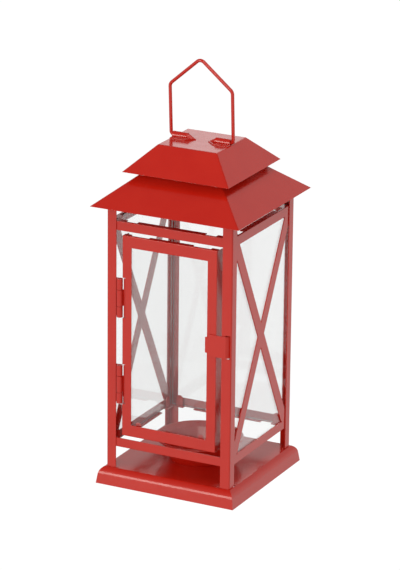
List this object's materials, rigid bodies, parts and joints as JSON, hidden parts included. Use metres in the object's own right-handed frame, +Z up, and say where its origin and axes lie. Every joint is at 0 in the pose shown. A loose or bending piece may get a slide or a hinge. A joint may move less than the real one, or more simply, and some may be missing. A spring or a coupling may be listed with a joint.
{
  "type": "candle lantern",
  "caption": "Square lantern for a block candle: red steel frame with glass sides, a hinged glazed door with a latch, a two-tier vented roof and a swinging carrying handle.",
  "frame": {"origin": "middle of the base's underside, on the surface the lantern stands on", "axes": "+Z up, the door faces -Y, the door's latch is on the +X side"},
  "size_m": [0.1312, 0.1312, 0.3484],
  "materials": {
    "red_sheet": "semi-gloss powder coat",
    "red_dish": "semi-gloss powder coat",
    "red_fittings": "semi-gloss powder coat",
    "red_handle": "semi-gloss powder coat",
    "glass_pane": "clear float glass"
  },
  "bodies": {
    "lantern": {"base_pan": "red_sheet", "candle_dish": "red_dish", "post_front_left": "red_sheet", "post_front_right": "red_sheet", "post_back_right": "red_sheet", "post_back_left": "red_sheet", "front_top_rail": "red_sheet", "front_bottom_rail": "red_sheet", "back_top_rail": "red_sheet", "back_bottom_rail": "red_sheet", "panel_right": "red_sheet", "panel_left": "red_sheet", "lower_roof": "red_sheet", "upper_roof": "red_sheet", "roof_spacer_front": "red_sheet", "roof_spacer_right": "red_sheet", "roof_spacer_back": "red_sheet", "roof_spacer_left": "red_sheet", "handle_bracket_left": "red_handle", "handle_bracket_right": "red_handle", "hinge_lower_post_leaf": "red_fittings", "hinge_upper_post_leaf": "red_fittings", "hinge_lower_pin": "red_fittings", "hinge_upper_pin": "red_fittings", "glass_right": "glass_pane", "glass_back": "glass_pane", "glass_left": "glass_pane"},
    "door": {"door_frame": "red_sheet", "door_glass": "glass_pane", "door_glass_clips_top": "red_sheet", "door_glass_clips_bottom": "red_sheet", "hinge_lower_door_leaf": "red_fittings", "hinge_upper_door_leaf": "red_fittings"},
    "latch": {"latch_plate": "red_fittings"},
    "handle": {"handle": "red_handle"}
  },
  "joints": [
    {"name": "door_swing", "type": "hinge", "parent": "lantern", "child": "door", "pos_m": [-0.04345, -0.0559, 0.1275], "axis": [0, 0, -1], "range_deg": [0, 165]},
    {"name": "latch_lift", "type": "hinge", "parent": "door", "child": "latch", "pos_m": [0.0333, -0.0551, 0.1329], "axis": [0, 0, -1], "range_deg": [0, 12], "stiffness_Nm_per_rad": 0.02},
    {"name": "handle_swing", "type": "hinge", "parent": "lantern", "child": "handle", "pos_m": [0, 0, 0.2824], "axis": [1, 0, 0], "range_deg": [-95, 88]}
  ]
}
